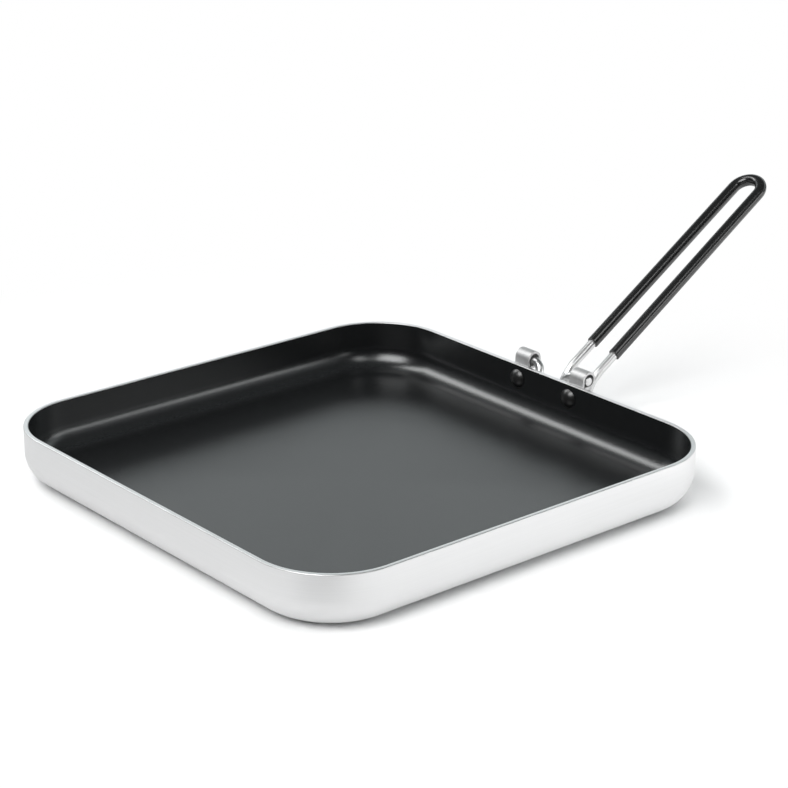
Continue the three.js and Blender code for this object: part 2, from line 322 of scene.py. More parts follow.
print("geometry group:", ROUNDED_LINE.name)

# %% [markdown]
# ## Growing a shape
#
# A shape tree runs as a modifier on its drawn line, with sizes and a finish as its inputs, and other
# modifiers may follow it. The result is then kept as a plain mesh and the line is removed. Edges stay
# sharp where the surface turns by more than a set angle, and are shaded smooth elsewhere.

# %% Growing a shape
SHARPEST_SMOOTH = math.radians(35)


def shape_tree(name, sizes):
    """A tree that makes a shape from a drawn line, named sizes and a finish."""
    inputs = {"Line": "Geometry", **{size: "Float" for size in sizes}, "Finish": "Material"}
    return new_tree(name, "GeometryNodeTree", inputs, {"Shape": "Geometry"})


def end_shape(tree, mesh, finish):
    """Closes a tree: real instead of instanced, and with its finish."""
    real = result(tree, "GeometryNodeRealizeInstances", {"Geometry": mesh})
    done = result(tree, "GeometryNodeSetMaterial", {"Geometry": real, "Material": finish})
    place(tree, "NodeGroupOutput", {"Shape": done})


def grown(name, line, tree, sizes, finish, finishing=()):
    """Runs a shape tree on a drawn line, then the finishing modifiers, and keeps the result as a mesh."""
    seed = link(bpy.data.objects.new(name + "_line", line))
    modifier = seed.modifiers.new("shape", "NODES")
    modifier.node_group = tree
    values = {**sizes, "Finish": finish}
    for item in tree.interface.items_tree:
        if item.in_out == "INPUT" and item.name in values:
            modifier[item.identifier] = values[item.name]
    for kind, options in finishing:
        extra = seed.modifiers.new(kind.lower(), kind)
        for option, value in options.items():
            setattr(extra, option, value)
    evaluated = seed.evaluated_get(bpy.context.evaluated_depsgraph_get())
    mesh = bpy.data.meshes.new_from_object(evaluated)
    bpy.data.objects.remove(seed)
    mesh.name = name
    mesh.shade_smooth()
    mesh.set_sharp_from_angle(angle=SHARPEST_SMOOTH)
    print(name, "has", len(mesh.polygons), "faces")
    return link(bpy.data.objects.new(name, mesh))


print("edges stay sharp above", round(math.degrees(SHARPEST_SMOOTH)), "degrees")

# %% [markdown]
# ## Pan and coating: a section swept round a square
#
# A pressed tray has one wall section all the way round. It could be modelled as a box with bevels, but the
# corners, the bottom round and the rim then fight over the same edges. Sweeping the section round a square
# with round corners gives each its own radius. The section's two end points are drawn in to the middle of
# the pan, which closes the cooking floor and the underside. The holes for the rivets are cut last. The
# coating is a second, thin tray in the first, from the same tree.

# %% Tray tree
CORNER_SEGMENTS = 28
SECTION_SEGMENTS = 14
HOLE_SIDES = 48
HOLE_INPUTS = ["Hole radius", "Hole X", "Hole Y", "Hole Z", "Hole depth"]
MERGE = 1e-6


def at(tree, **axes):
    """A place from its X, Y and Z. An axis that isn't given is 0."""
    return result(tree, "ShaderNodeCombineXYZ", axes)


def point_axes(tree):
    """X, Y and Z of each point of the geometry."""
    here = result(tree, "GeometryNodeInputPosition")
    return place(tree, "ShaderNodeSeparateXYZ", {"Vector": here}).outputs


def paired(tree, geometry, x):
    """The geometry once on the left and once on the right, at the same distance from the middle."""
    left = at(tree, X=calc(tree, "MULTIPLY", x, -1.0))
    across = at(tree, X=calc(tree, "MULTIPLY", x, 2.0))
    two_spots = {"Count": 2, "Start Location": left, "Offset": across}
    spots = result(tree, "GeometryNodeMeshLine", two_spots)
    both = result(tree, "GeometryNodeInstanceOnPoints", {"Points": spots, "Instance": geometry})
    return result(tree, "GeometryNodeRealizeInstances", {"Geometry": both})


def drilled(tree, mesh, given):
    """The mesh with a hole along Y for the rivet on each side."""
    sizes = {"Vertices": HOLE_SIDES, "Radius": given["Hole radius"], "Depth": given["Hole depth"]}
    rod = result(tree, "GeometryNodeMeshCylinder", sizes)
    spot = at(tree, Y=given["Hole Y"], Z=given["Hole Z"])
    lay = {"Geometry": rod, "Translation": spot, "Rotation": (QUARTER_TURN, 0, 0)}
    drill = result(tree, "GeometryNodeTransform", lay)
    meshes = {"Mesh 1": mesh, "Mesh 2": paired(tree, drill, given["Hole X"])}
    return result(tree, "GeometryNodeMeshBoolean", meshes, solver="MANIFOLD")


def tray_tree():
    """Sweeps a drawn wall section round a square, closes it in the middle and drills it."""
    tree, given = shape_tree("pressed tray", ["Side", "Corner radius", *HOLE_INPUTS])
    keep_ends = place(tree, "GeometryNodeCaptureAttribute", domain="POINT")
    keep_ends.capture_items.new("BOOLEAN", "End")
    ends = result(tree, "GeometryNodeCurveEndpointSelection")
    tree.links.new(rounded(tree, given["Line"], SECTION_SEGMENTS), keep_ends.inputs["Geometry"])
    tree.links.new(ends, keep_ends.inputs["End"])

    # On this path a sweep lays X outwards and Y downwards, so the section gets a half turn first.
    half_turn = {"Geometry": keep_ends.outputs["Geometry"], "Rotation": (0, 0, HALF_TURN)}
    section = result(tree, "GeometryNodeTransform", half_turn)
    sides = {"Width": given["Side"], "Height": given["Side"]}
    square = result(tree, "GeometryNodeCurvePrimitiveQuadrilateral", sides)
    path = filleted(tree, square, CORNER_SEGMENTS, given["Corner radius"])
    wall = result(tree, "GeometryNodeCurveToMesh", {"Curve": path, "Profile Curve": section})

    middle = at(tree, Z=point_axes(tree)["Z"])
    closing = {"Geometry": wall, "Selection": keep_ends.outputs["End"], "Position": middle}
    closed = result(tree, "GeometryNodeSetPosition", closing)
    merged = result(tree, "GeometryNodeMergeByDistance", {"Geometry": closed, "Distance": MERGE})
    end_shape(tree, drilled(tree, merged, given), given["Finish"])
    return tree


TRAY = tray_tree()
print("tray tree:", len(TRAY.nodes), "nodes")

# %% [markdown]
# ## Bare aluminium
#
# The outside of the pan is satin aluminium, lightly brushed along its walls. The lines run level all the
# way round, so the noise is stretched to change fast along Z and slowly along X and Y. The flat of the rim
# is machined, so its gloss is more even than that of the walls: a step along Z picks it out.

# %% Aluminium finish
PAN_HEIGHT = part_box("pan_body")[1].z
RIM_LAND = 0.0004
ALUMINIUM_GRAIN = {"Lines per metre": (9, 9, 2600), "Clouds per metre": 14}
ALUMINIUM_SHADES = (grey(0.84, 0.004), grey(0.94, 0.004))
ALUMINIUM_CLOUD = grey(0.97)
ALUMINIUM_CLOUD_SHARE = 0.35
ALUMINIUM_ROUGHNESS = (0.24, 0.42)
ALUMINIUM_BUMP = (0.00002, 0.5)
RIM_SHADE = grey(0.8)
RIM_ROUGHNESS = 0.3


def aluminium_finish():
    finish, tree, surface = new_finish("bare aluminium", Metallic=1.0)
    grain = effect(tree, GRAIN, ALUMINIUM_GRAIN)
    rim = step_along(tree, "Z", PAN_HEIGHT - 2 * RIM_LAND, PAN_HEIGHT - RIM_LAND)
    walls = brushed_colour(tree, grain, ALUMINIUM_SHADES, ALUMINIUM_CLOUD, ALUMINIUM_CLOUD_SHARE)
    satin = between(tree, grain["Grain"], *ALUMINIUM_ROUGHNESS)
    maps = {
        "Base Color": blended(tree, rim, walls, RIM_SHADE),
        "Roughness": mixed(tree, rim, satin, RIM_ROUGHNESS),
        "Normal": bumped(tree, grain["Grain"], *ALUMINIUM_BUMP),
    }
    feed(tree, surface, maps)
    return finish


ALUMINIUM = aluminium_finish()
print("finish:", ALUMINIUM.name)

# %% Pan shell
PAN_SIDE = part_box("pan_body")[1].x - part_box("pan_body")[0].x
CORNER_RADIUS = 0.044
WALL = 0.0025
BASE = 0.003
BOTTOM_RADIUS = 0.017
INNER_FILLET = 0.014
RIM_EDGE = 0.00035
RIM_OUTER_EDGE = 0.0004
END_LEAD = 0.001
RIVET_PLACE = Vector((0.0209, 0.14, 0.0229))
HOLE_SIZES = {
    "Hole radius": 0.00265,
    "Hole X": RIVET_PLACE.x,
    "Hole Y": RIVET_PLACE.y,
    "Hole Z": RIVET_PLACE.z,
    "Hole depth": 0.012,
}
TRAY_SIZES = {"Side": PAN_SIDE, "Corner radius": CORNER_RADIUS, **HOLE_SIZES}


def tray_section(name, inset, wall, low, base, high, outer_round, inner_round, edges):
    """The wall from the cooking floor over the rim to the underside: X is the inset and Y the height."""
    floor_end = inset + wall + inner_round + END_LEAD
    under_end = inset + outer_round + END_LEAD
    points = [
        (floor_end, low + base, 0),
        (inset + wall, low + base, 0),
        (inset + wall, high, 0),
        (inset, high, 0),
        (inset, low, 0),
        (under_end, low, 0),
    ]
    return drawn_line(name, points, [0, inner_round, *edges, outer_round, 0])


shell_section = tray_section(
    "shell_section",
    inset=0,
    wall=WALL,
    low=0,
    base=BASE,
    high=PAN_HEIGHT,
    outer_round=BOTTOM_RADIUS,
    inner_round=INNER_FILLET,
    edges=(RIM_EDGE, RIM_OUTER_EDGE),
)
pan_shell = grown("pan_shell", shell_section, TRAY, TRAY_SIZES, ALUMINIUM)
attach(pan_shell, "pan")
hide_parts("pan_body")

# %% [markdown]
# ## Non-stick coating
#
# The inside is sprayed with a black non-stick layer. It is dark, but it has a satin gloss, so at a low
# angle it mirrors the pale room as a soft grey. That grey is slightly cool, partly from the room's own tint
# and partly from a painted cool tint on the coating's reflections. The flat floor is a little rougher than
# the rounds and walls, as on a pan that has been wiped, so its mirror image is broad and the lines of light
# in the rounds stay narrow. A very fine speckle of lighter grains and a faint orange-peel bump keep it from
# looking like plain plastic.

# %% Coating finish
COATING = 0.0002
COATING_GAP = 0.00005
COOKING_FLOOR = BASE + COATING_GAP + COATING
# A painted cool tint on the coating's reflections, on top of the room's own cool tint.
COATING_REFLECTION_TINT = (0.98, 1.0, 1.0, 1.0)
COATING_SPECKLE = {"Specks per metre": 1600, "Bumps per metre": 1500}
COATING_SHADES = (grey(0.0055, 0.08), grey(0.012, 0.08))
COATING_BUMP = (0.00006, 0.9)
ROUNDS_ROUGHNESS = (0.2, 0.28)
FLAT_ROUGHNESS = (0.28, 0.34)
FLAT_BLEND = 0.004


def coating_finish():
    finish, tree, surface = new_finish("black non-stick coating", IOR=1.75, Specular_Tint=COATING_REFLECTION_TINT)
    speckle = effect(tree, SPECKLE, COATING_SPECKLE)
    off_floor = step_along(tree, "Z", COOKING_FLOOR, COOKING_FLOOR + FLAT_BLEND)
    flat = between(tree, speckle["Peel"], *FLAT_ROUGHNESS)
    rounds = between(tree, speckle["Peel"], *ROUNDS_ROUGHNESS)
    maps = {
        "Base Color": blended(tree, speckle["Specks"], *COATING_SHADES),
        "Roughness": mixed(tree, off_floor, flat, rounds),
        "Normal": bumped(tree, speckle["Peel"], *COATING_BUMP),
    }
    feed(tree, surface, maps)
    return finish


COATING_BLACK = coating_finish()
print("finish:", COATING_BLACK.name)

# %% Cooking coat
lining = WALL + COATING_GAP
coat_section = tray_section(
    "coat_section",
    inset=lining,
    wall=COATING,
    low=BASE + COATING_GAP,
    base=COATING,
    high=PAN_HEIGHT - RIM_EDGE,
    outer_round=INNER_FILLET - COATING_GAP,
    inner_round=INNER_FILLET - COATING_GAP - COATING,
    edges=(COATING / 4, COATING / 4),
)
cooking_coat = grown("cooking_coat", coat_section, TRAY, TRAY_SIZES, COATING_BLACK)
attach(cooking_coat, "pan")
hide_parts("nonstick_coating")

# %% [markdown]
# ## Hinge straps
#
# Each lug is one strip of steel: up the wall, round an eye, and back down over its own first leaf. In side
# view that is a line with six bends, so it is drawn once and swept with a flat section that has rounded
# edges. The lower end is then pulled in to a half circle, the strap is placed once on each side, and the
# holes for the rivets are cut.

# %% Strap tree
STRAP_STEP = 0.00025
STRAP_EDGE_SEGMENTS = 5
BEND_SEGMENTS = 48


def swept_evenly(tree, line, step, section, caps):
    """The rounded line, divided into even steps and swept with a section."""
    steps = {"Curve": rounded(tree, line, BEND_SEGMENTS), "Length": step}
    even = result(tree, "GeometryNodeResampleCurve", steps, mode="LENGTH")
    sweep = {"Curve": even, "Profile Curve": section, "Fill Caps": caps}
    return result(tree, "GeometryNodeCurveToMesh", sweep)


def pulled_to_round_end(tree, mesh, half_width, centre_z):
    """Narrows the strap below a height, so that its end follows a half circle."""
    axes = point_axes(tree)
    below = calc(tree, "MAXIMUM", calc(tree, "SUBTRACT", centre_z, axes["Z"]), 0.0)
    share = calc(tree, "DIVIDE", below, half_width)
    rest = calc(tree, "SUBTRACT", 1.0, calc(tree, "MULTIPLY", share, share))
    x = calc(tree, "MULTIPLY", axes["X"], calc(tree, "SQRT", rest))
    spot = at(tree, X=x, Y=axes["Y"], Z=axes["Z"])
    return result(tree, "GeometryNodeSetPosition", {"Geometry": mesh, "Position": spot})


def strap_tree():
    """Sweeps a drawn strap with a flat section, rounds its end, pairs it and drills both."""
    tree, given = shape_tree("folded strap", ["Width", "Thickness", "Edge", "Place X", *HOLE_INPUTS])
    flat = {"Width": given["Width"], "Height": given["Thickness"]}
    section = result(tree, "GeometryNodeCurvePrimitiveQuadrilateral", flat)
    soft_section = filleted(tree, section, STRAP_EDGE_SEGMENTS, given["Edge"])
    strip = swept_evenly(tree, given["Line"], STRAP_STEP, soft_section, caps=True)
    half_width = calc(tree, "MULTIPLY", given["Width"], 0.5)
    shaped = pulled_to_round_end(tree, strip, half_width, given["Hole Z"])
    both = paired(tree, shaped, given["Place X"])
    end_shape(tree, drilled(tree, both, given), given["Finish"])
    return tree


STRAP = strap_tree()
print("strap tree:", len(STRAP.nodes), "nodes")

# %% [markdown]
# ## Brushed steel of the straps
#
# The strip is brushed along its length, so its lines go up the wall and round the eye. A strap bends only
# in Y and Z. Noise that changes fast along X and slowly along the other two axes therefore follows the
# strip through every bend, and no UV map is needed.

# %% Strap finish
STRAP_GRAIN = {"Lines per metre": (5200, 60, 60), "Clouds per metre": 120}
STRAP_SHADES = (grey(0.55), grey(0.85))
STRAP_CLOUD = grey(0.6)
STRAP_CLOUD_SHARE = 0.3
STRAP_ROUGHNESS = (0.5, 0.62)
STRAP_BUMP = (0.00003, 0.6)


def strap_finish():
    finish, tree, surface = new_finish("brushed steel strap", Metallic=1.0)
    grain = effect(tree, GRAIN, STRAP_GRAIN)
    maps = {
        "Base Color": brushed_colour(tree, grain, STRAP_SHADES, STRAP_CLOUD, STRAP_CLOUD_SHARE),
        "Roughness": between(tree, grain["Grain"], *STRAP_ROUGHNESS),
        "Normal": bumped(tree, grain["Grain"], *STRAP_BUMP),
    }
    feed(tree, surface, maps)
    return finish


STRAP_STEEL = strap_finish()
print("finish:", STRAP_STEEL.name)

# %% Hinge straps
STRAP_X = 0.0222
STRAP_WIDTH = 0.011
STRAP_THICKNESS = 0.0015
STRAP_EDGE = 0.0002
LEAF_GAP = 0.0002
TIP_TRIM = 0.00004
STEP_BACK = 0.0016
STEP_LOW = 0.0274
STEP_HIGH = 0.0304
STEP_BEND = 0.002
EYE_BEND = 0.00425
THROAT_BEND = 0.00255
strap_low, strap_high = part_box("handle_lug_left")
back_leaf = strap_low.y + STRAP_THICKNESS / 2
front_leaf = back_leaf + STRAP_THICKNESS + LEAF_GAP
eye_top = strap_high.z - STRAP_THICKNESS / 2
eye_low = eye_top - 2 * EYE_BEND
eye_near = back_leaf + STEP_BACK
eye_far = eye_near + 2 * EYE_BEND
strap_end = RIVET_PLACE.z - STRAP_WIDTH / 2 + TIP_TRIM
strap_points = [
    (0, back_leaf, strap_end),
    (0, back_leaf, STEP_LOW),
    (0, eye_near, STEP_HIGH),
    (0, eye_near, eye_top),
    (0, eye_far, eye_top),
    (0, eye_far, eye_low),
    (0, front_leaf, eye_low),
    (0, front_leaf, strap_end),
]
strap_bends = [0, STEP_BEND, STEP_BEND, EYE_BEND, EYE_BEND, EYE_BEND, THROAT_BEND, 0]
strap_line = drawn_line("strap_line", strap_points, strap_bends)
strap_sizes = {
    "Width": STRAP_WIDTH,
    "Thickness": STRAP_THICKNESS,
    "Edge": STRAP_EDGE,
    "Place X": STRAP_X,
    **HOLE_SIZES,
}
hinge_straps = grown("hinge_straps", strap_line, STRAP, strap_sizes, STRAP_STEEL)
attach(hinge_straps, "pan")
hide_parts("handle_lug_left", "handle_lug_right")

# %% [markdown]
# ## Rivets
#
# A rivet is a turned piece, so half of its section is drawn and swept round a circle. Its domed head is
# inside the pan and takes the coating's black. The other end is hammered down over the strap and stays
# bare metal, so one material changes from black to bare with the place along the rivet.

# %% Rivet tree
RIVET_SIDES = 64
RIVET_EDGE_SEGMENTS = 4
TURNING_RADIUS = 0.01


def rivet_tree():
    """Turns a drawn half section round an axis, lays it along Y and pairs it."""
    tree, given = shape_tree("turned rivet", ["Place X", "Place Z"])
    half = rounded(tree, given["Line"], RIVET_EDGE_SEGMENTS)
    half_turn = {"Geometry": half, "Rotation": (0, 0, HALF_TURN)}
    section = result(tree, "GeometryNodeTransform", half_turn)
    circle = {"Resolution": RIVET_SIDES, "Radius": TURNING_RADIUS}
    ring = result(tree, "GeometryNodeCurvePrimitiveCircle", circle)
    turned = result(tree, "GeometryNodeCurveToMesh", {"Curve": ring, "Profile Curve": section})
    merged = result(tree, "GeometryNodeMergeByDistance", {"Geometry": turned, "Distance": MERGE})
    spot = at(tree, Z=given["Place Z"])
    lay = {"Geometry": merged, "Translation": spot, "Rotation": (-QUARTER_TURN, 0, 0)}
    laid = result(tree, "GeometryNodeTransform", lay)
    end_shape(tree, paired(tree, laid, given["Place X"]), given["Finish"])
    return tree


RIVET = rivet_tree()
print("rivet tree:", len(RIVET.nodes), "nodes")

# %% Rivet finish
RIVET_SPECKLE = {"Specks per metre": 1600, "Bumps per metre": 1500}
RIVET_BLACKS = (grey(0.006), grey(0.02))
RIVET_BARE = grey(0.72)
BARE_BLEND = 0.0001
RIVET_ROUGHNESS = (0.28, 0.36)
RIVET_BUMP = (0.00004, 0.7)


def rivet_finish():
    finish, tree, surface = new_finish("coated rivet", IOR=1.75)
    speckle = effect(tree, SPECKLE, RIVET_SPECKLE)
    bare = step_along(tree, "Y", RIVET_PLACE.y - BARE_BLEND, RIVET_PLACE.y + BARE_BLEND)
    black = blended(tree, speckle["Specks"], *RIVET_BLACKS)
    maps = {
        "Base Color": blended(tree, bare, black, RIVET_BARE),
        "Metallic": bare,
        "Roughness": between(tree, speckle["Peel"], *RIVET_ROUGHNESS),
        "Normal": bumped(tree, speckle["Peel"], *RIVET_BUMP),
    }
    feed(tree, surface, maps)
    return finish


RIVET_COATED = rivet_finish()
print("finish:", RIVET_COATED.name)

# %% Rivets
HEAD_DIAMETER = 0.0108
HEAD_EDGE = 0.0001
HEAD_DOME = 0.0028
TAIL_DIAMETER = 0.0066
TAIL_EDGE = 0.0006
TAIL_DOME = 0.0012
SHANK_DIAMETER = 0.005
RIVET_SOFT_EDGE = 0.0001
SEAT_GAP = 0.0001
DOME_STEPS = 10
head_seat = RIVET_PLACE.y - lining - COATING - SEAT_GAP
tail_seat = front_leaf + STRAP_THICKNESS / 2 + SEAT_GAP


def rivet_end(seat, away, diameter, edge, dome):
    """Radius and place along Y of one end, from the top of its dome to its seat."""
    radius = diameter / 2
    ball = (radius**2 + dome**2) / (2 * dome)
    half_angle = math.asin(radius / ball)
    centre = seat + away * (edge + dome - ball)
    angles = [half_angle * step / DOME_STEPS for step in range(DOME_STEPS + 1)]
    arc = [(ball * math.sin(a), centre + away * ball * math.cos(a)) for a in angles]
    return [*arc, (radius, seat), (SHANK_DIAMETER / 2, seat)]


head = rivet_end(head_seat, -1, HEAD_DIAMETER, HEAD_EDGE, HEAD_DOME)
tail = rivet_end(tail_seat, 1, TAIL_DIAMETER, TAIL_EDGE, TAIL_DOME)
outline = head + tail[::-1]
rivet_points = [(TURNING_RADIUS - radius, along, 0) for radius, along in outline]
rivet_bends = [0.0] * len(outline)
for corner in (DOME_STEPS, len(outline) - 1 - DOME_STEPS):
    rivet_bends[corner] = RIVET_SOFT_EDGE
rivet_line = drawn_line("rivet_line", rivet_points, rivet_bends)
rivet_sizes = {"Place X": RIVET_PLACE.x, "Place Z": RIVET_PLACE.z}
wall_rivets = grown("wall_rivets", rivet_line, RIVET, rivet_sizes, RIVET_COATED)
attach(wall_rivets, "pan")
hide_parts("lug_rivet_left", "lug_rivet_right")

# %% [markdown]
# ## Bent handle
#
# The handle is one length of round wire. It could be pieced together from straight and curved tubes, but
# then every joint would need care. Instead its centreline is drawn by the points where its straight runs
# would meet, every bend is rounded, and a circle is swept along it. The ends turn outwards into the eyes,
# two hooks rest on the wall, and two legs rise to a round tip. A small Bevel rounds the cut ends.

# %% Bar tree
BAR_STEP = 0.0006
BAR_SIDES = 40


def bar_tree(name, caps):
    """Sweeps a drawn line with a circle, as a bar with caps or as an open skin."""
    tree, given = shape_tree(name, ["Diameter"])
    radius = calc(tree, "MULTIPLY", given["Diameter"], 0.5)
    circle = {"Resolution": BAR_SIDES, "Radius": radius}
    section = result(tree, "GeometryNodeCurvePrimitiveCircle", circle)
    bar = swept_evenly(tree, given["Line"], BAR_STEP, section, caps)
    end_shape(tree, bar, given["Finish"])
    return tree


WIRE_BAR = bar_tree("bent wire", caps=True)
SLEEVE_BAR = bar_tree("bent tube", caps=False)
print("bar trees:", WIRE_BAR.name, "and", SLEEVE_BAR.name)

# %% [markdown]
# ## Steel of the wire
#
# Wire is pulled through a die, which leaves long, faint lines along it, and it is polished afterwards. The
# legs run in Y and Z, so the lines come from noise that changes fast along X. Their contrast is raised,
# because a thin bright wire shows them as dark and light streaks.

# %% Wire finish
WIRE_GRAIN = {"Lines per metre": (700, 25, 25), "Clouds per metre": 90}
WIRE_CONTRAST = (-0.6, 1.6)
WIRE_SHADES = (grey(0.5), grey(0.92))
WIRE_CLOUD = grey(0.7)
WIRE_CLOUD_SHARE = 0.3
WIRE_ROUGHNESS = (0.26, 0.36)
WIRE_BUMP = (0.00001, 0.4)


def wire_finish():
    finish, tree, surface = new_finish("polished wire", Metallic=1.0)
    grain = effect(tree, GRAIN, WIRE_GRAIN)
    streaks = {"Grain": between(tree, grain["Grain"], *WIRE_CONTRAST), "Cloud": grain["Cloud"]}
    maps = {
        "Base Color": brushed_colour(tree, streaks, WIRE_SHADES, WIRE_CLOUD, WIRE_CLOUD_SHARE),
        "Roughness": between(tree, grain["Cloud"], *WIRE_ROUGHNESS),
        "Normal": bumped(tree, grain["Grain"], *WIRE_BUMP),
    }
    feed(tree, surface, maps)
    return finish


WIRE_STEEL = wire_finish()
print("finish:", WIRE_STEEL.name)

# %% Bent wire
WIRE = 0.005
LEG_X = 0.01
TIP_X = 0.0095
EYE_TURN = 0.006
STOP_BEND = 0.015
HOOK_BEND = 0.0085
KNEE_BEND = 0.03
STOP_PLACE = Vector((LEG_X, 0.1428, 0.023))
HOOK_Z = 0.0085
HOOK_FLAT = 0.0026
RISER_LENGTH = 0.0184
RISER_ANGLE = math.radians(60)
LEG_LENGTH = 0.1687
LEG_ANGLE = math.radians(32.5)
WIRE_END_ROUND = 0.0006
END_ROUND_SEGMENTS = 4
END_ANGLE = math.radians(60)
hinge = Vector(frame["joints"][0]["pos_m"])
wire_end_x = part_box("handle_wire")[1].x
riser_y = STOP_PLACE.y + HOOK_BEND * (1 + math.tan(RISER_ANGLE / 2)) + HOOK_FLAT
knee_y = riser_y + RISER_LENGTH * math.cos(RISER_ANGLE)
knee_z = HOOK_Z + RISER_LENGTH * math.sin(RISER_ANGLE)
lean = math.atan((LEG_X - TIP_X) / LEG_LENGTH)
tip_bend = TIP_X / math.tan((QUARTER_TURN - lean) / 2)


def along_leg(length):
    """A point of the right leg's centreline, from its knee up."""
    x = LEG_X + (TIP_X - LEG_X) * length / LEG_LENGTH
    return Vector((x, knee_y + length * math.cos(LEG_ANGLE), knee_z + length * math.sin(LEG_ANGLE)))


def other_side(point):
    """The same point of the left half."""
    return Vector((-point.x, point.y, point.z))


def end_bevel(width):
    """Modifier options that round only the sharp edges of cut ends."""
    return "BEVEL", {
        "width": width,
        "segments": END_ROUND_SEGMENTS,
        "limit_method": "ANGLE",
        "angle_limit": END_ANGLE,
    }


half_points = [
    Vector((wire_end_x, hinge.y, hinge.z)),
    Vector((LEG_X, hinge.y, hinge.z)),
    STOP_PLACE,
    Vector((LEG_X, STOP_PLACE.y, HOOK_Z)),
    Vector((LEG_X, riser_y, HOOK_Z)),
    along_leg(0),
    along_leg(LEG_LENGTH),
]
half_bends = [0, EYE_TURN, STOP_BEND, HOOK_BEND, HOOK_BEND, KNEE_BEND, tip_bend]
wire_points = half_points + [other_side(point) for point in reversed(half_points)]
wire_bends = half_bends + half_bends[::-1]
wire_line = drawn_line("wire_line", wire_points, wire_bends)
wire_rounding = [end_bevel(WIRE_END_ROUND)]
bent_handle = grown("bent_handle", wire_line, WIRE_BAR, {"Diameter": WIRE}, WIRE_STEEL, wire_rounding)
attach(bent_handle, "handle")
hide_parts("handle_wire")

# %% [markdown]
# ## Grip sleeve
#
# A black plastic sleeve on the legs and the tip keeps the hand off the hot wire. A thicker bar round the
# wire would look much the same, but a sleeve has a bore and two open ends. So the bar tree sweeps only its
# outer skin, Solidify gives the skin a wall towards the inside, and a small Bevel breaks the cut ends. The
# plastic is smooth and has the narrowest highlights of the three black finishes.

# %% Sleeve finish
SLEEVE_SPECKLE = {"Specks per metre": 2500, "Bumps per metre": 450}
SLEEVE_SHADES = (grey(0.006), grey(0.01))
SLEEVE_ROUGHNESS = (0.18, 0.24)
SLEEVE_BUMP = (0.00001, 0.3)


def sleeve_finish():
    finish, tree, surface = new_finish("black grip sleeve", IOR=1.7)
    speckle = effect(tree, SPECKLE, SLEEVE_SPECKLE)
    maps = {
        "Base Color": blended(tree, speckle["Specks"], *SLEEVE_SHADES),
        "Roughness": between(tree, speckle["Peel"], *SLEEVE_ROUGHNESS),
        "Normal": bumped(tree, speckle["Peel"], *SLEEVE_BUMP),
    }
    feed(tree, surface, maps)
    return finish


SLEEVE_BLACK = sleeve_finish()
print("finish:", SLEEVE_BLACK.name)

# %% Grip sleeve
SLEEVE_BORE = 0.0056
SLEEVE_WALL = 0.0007
SLEEVE_START_LEFT = 0.0223
SLEEVE_START_RIGHT = 0.0194
SLEEVE_END_ROUND = 0.0002
SLEEVE_TRIM = 0.00004
tip = along_leg(LEG_LENGTH)
sleeve_points = [
    along_leg(SLEEVE_START_RIGHT),
    tip,
    other_side(tip),
    other_side(along_leg(SLEEVE_START_LEFT)),
]
sleeve_line = drawn_line("sleeve_line", sleeve_points, [0, tip_bend, tip_bend, 0])
sleeve_shaping = [("SOLIDIFY", {"thickness": SLEEVE_WALL, "offset": -1.0}), end_bevel(SLEEVE_END_ROUND)]
sleeve_size = {"Diameter": SLEEVE_BORE + 2 * SLEEVE_WALL - SLEEVE_TRIM}
grip_sleeve = grown("grip_sleeve", sleeve_line, SLEEVE_BAR, sleeve_size, SLEEVE_BLACK, sleeve_shaping)
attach(grip_sleeve, "handle")
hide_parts("handle_sleeve")

# %% [markdown]
# ## Floor
#
# The pan stands on a white studio floor. The camera sees a plain white matte floor, on which only the
# shadow close to the pan stays grey. A little way from the pan it fades into a clean white. The metal
# walls mirror the floor next to them, and for mirrored rays the floor is a painted reflection: a glow with
# set levels on a darker matte. The glow paints a dark spot in front of the near corner, which stands in for
# the camera's reflection, and goes up to white far to the right, under the handle. Light that a matte
# surface has scattered meets the plain floor, so the painted one doesn't dim the room.

# %% Floor
FLOOR_SIZE = 12.0
FLOOR_DROP = 0.0002
FLOOR_WHITE = 0.9
FLOOR_FADE = (0.19, 0.4)
MIRROR_MATTE = 0.35
TO_THE_RIGHT = (0.7, 0.7, 0)
MIRROR_SPAN = (-0.16, 0.2)
MIRROR_LEVELS = (0.33, 0.54)
# The place of a painted dark spot in the mirrored floor, a painted reflection of the camera.
PAINTED_DARK_SPOT = (0.18, -0.185, 0)
SPOT_SPAN = (0.01, 0.09)
SPOT_SHARE = 0.5
FAR_SPAN = (0.26, 0.45)
FAR_SHARE = 0.5
WHITE_SPAN = (0.2, 0.36)
HALF_A_BOUNCE = 0.5


def is_ray(tree, *kinds):
    """1 for rays of the named kinds, and 0 for the others."""
    path = place(tree, "ShaderNodeLightPath").outputs
    total = path[kinds[0]]
    for kind in kinds[1:]:
        total = calc(tree, "MAXIMUM", total, path[kind])
    return total


def ramp(tree, value, start, end, first, last):
    """Goes softly from the first level to the last one while the value goes from start to end."""
    given = {"Value": value, "From Min": start, "From Max": end, "To Min": first, "To Max": last}
    return result(tree, "ShaderNodeMapRange", given, interpolation_type="SMOOTHSTEP")


def measured(tree, operation, where, other=(0, 0, 0)):
    """A number from places: a length, a distance, or how far one lies along the other."""
    given = {0: where, 1: other}
    return place(tree, "ShaderNodeVectorMath", given, operation=operation).outputs["Value"]


def seen_floor(tree, where):
    """White and matte, and for the camera a clean white further off."""
    far = ramp(tree, measured(tree, "LENGTH", where), *FLOOR_FADE, 0.0, 1.0)
    clean_share = calc(tree, "MULTIPLY", far, is_ray(tree, "Is Camera Ray"))
    matte = result(tree, "ShaderNodeBsdfDiffuse", {"Color": grey(FLOOR_WHITE)})
    clean = result(tree, "ShaderNodeEmission")
    return result(tree, "ShaderNodeMixShader", {0: clean_share, 1: matte, 2: clean})


